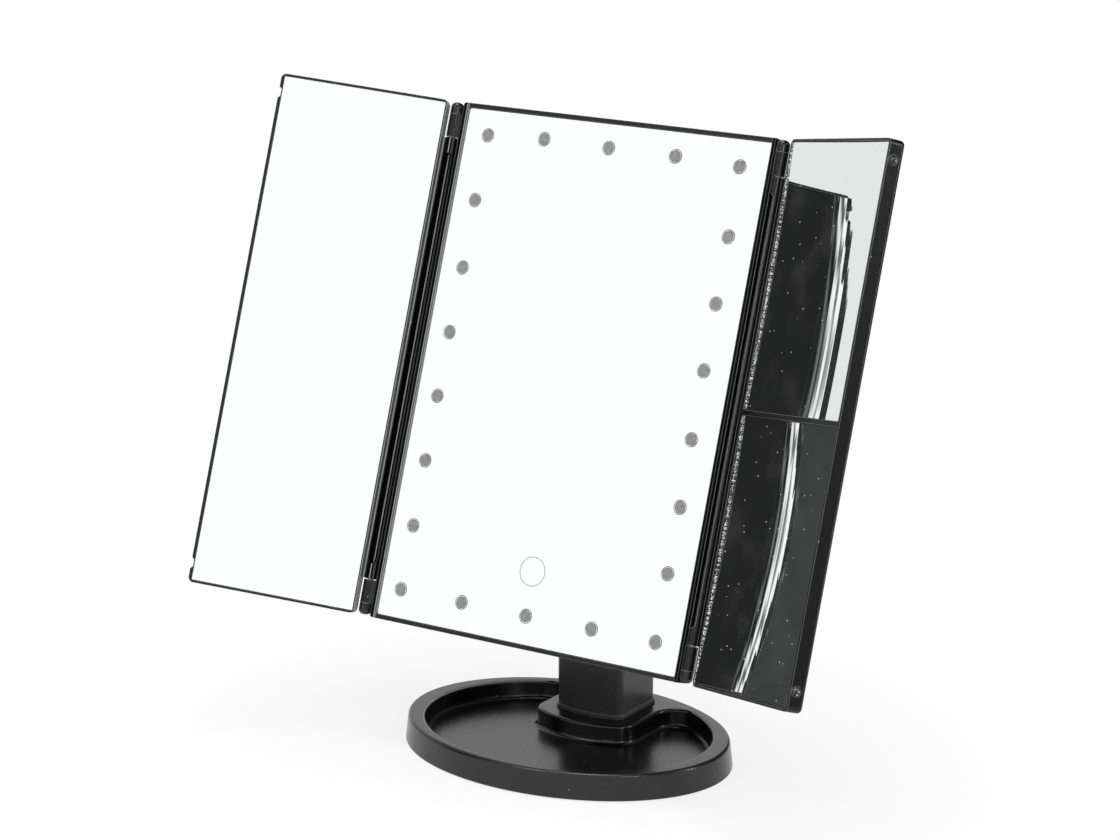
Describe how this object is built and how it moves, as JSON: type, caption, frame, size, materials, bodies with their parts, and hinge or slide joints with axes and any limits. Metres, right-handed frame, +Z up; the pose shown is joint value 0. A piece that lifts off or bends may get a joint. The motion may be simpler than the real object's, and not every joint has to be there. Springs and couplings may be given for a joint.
{
  "type": "lighted folding makeup mirror",
  "caption": "Free-standing three-fold makeup mirror in black plastic with light dots round the middle mirror, magnifying mirrors in one wing, a tilting head and an oval tray base.",
  "frame": {"origin": "middle of the flat underside of the non-slip pad, on the table", "axes": "+Z up, -Y towards the person looking in the mirror, +X to that person's right"},
  "size_m": [0.3329, 0.1398, 0.3021],
  "materials": {
    "black_plastic": "satin",
    "pad_rubber": "matte",
    "mirror_glass": "polished",
    "steel": "plated",
    "washer_plastic": "satin",
    "foam_tape": "matte",
    "strip_white": "matte",
    "light_chip": "gloss",
    "copper_foil": "satin",
    "cell_can": "satin",
    "contact_metal": "plated",
    "board_green": "satin",
    "switch_plastic": "gloss",
    "wire_cover": "satin"
  },
  "bodies": {
    "base": {"base_tray": "black_plastic", "non_slip_pad": "pad_rubber", "post": "black_plastic", "post_screws": "steel", "tilt_bolt": "steel", "tilt_nut": "steel", "friction_washers": "washer_plastic"},
    "head": {"centre_frame": "black_plastic", "centre_mirror": "mirror_glass", "mirror_tape": "foam_tape", "light_strips": "strip_white", "light_chips": "light_chip", "touch_foil": "copper_foil", "rear_cover": "black_plastic", "battery_cells": "cell_can", "battery_springs": "contact_metal", "battery_contacts": "contact_metal", "control_board": "board_green", "board_screws": "steel", "charging_socket": "steel", "switch_body": "switch_plastic", "wires": "wire_cover", "tilt_bracket": "black_plastic", "bracket_screws": "steel", "cover_screws": "steel", "left_hinge_caps": "black_plastic", "right_hinge_caps": "black_plastic", "left_hinge_pins": "steel", "right_hinge_pins": "steel"},
    "left_wing": {"left_wing_frame": "black_plastic", "left_wing_mirror": "mirror_glass", "left_wing_tape": "foam_tape"},
    "right_wing": {"right_wing_frame": "black_plastic", "upper_magnifier": "mirror_glass", "lower_magnifier": "mirror_glass", "right_wing_tape": "foam_tape"},
    "power_switch": {"switch_knob": "switch_plastic"},
    "battery_door": {"battery_door": "black_plastic"}
  },
  "joints": [
    {"name": "head_tilt", "type": "hinge", "parent": "base", "child": "head", "pos_m": [0, 0.026, 0.112], "axis": [-1, 0, 0], "range_deg": [-24, 50]},
    {"name": "left_fold", "type": "hinge", "parent": "head", "child": "left_wing", "pos_m": [-0.08635, 0.00059, 0.17409], "axis": [0, 0.3305, 0.9438], "range_deg": [-20.7, 159.3]},
    {"name": "right_fold", "type": "hinge", "parent": "head", "child": "right_wing", "pos_m": [0.08635, 0.00059, 0.17409], "axis": [0, -0.3305, -0.9438], "range_deg": [-31.1, 148.9]},
    {"name": "switch_slide", "type": "slide", "parent": "head", "child": "power_switch", "axis": [0, 0.3305, 0.9438], "range_m": [0, 0.004]},
    {"name": "battery_door_slide", "type": "slide", "parent": "head", "child": "battery_door", "axis": [0, 0.3305, 0.9438], "range_m": [0, 0.06]}
  ]
}
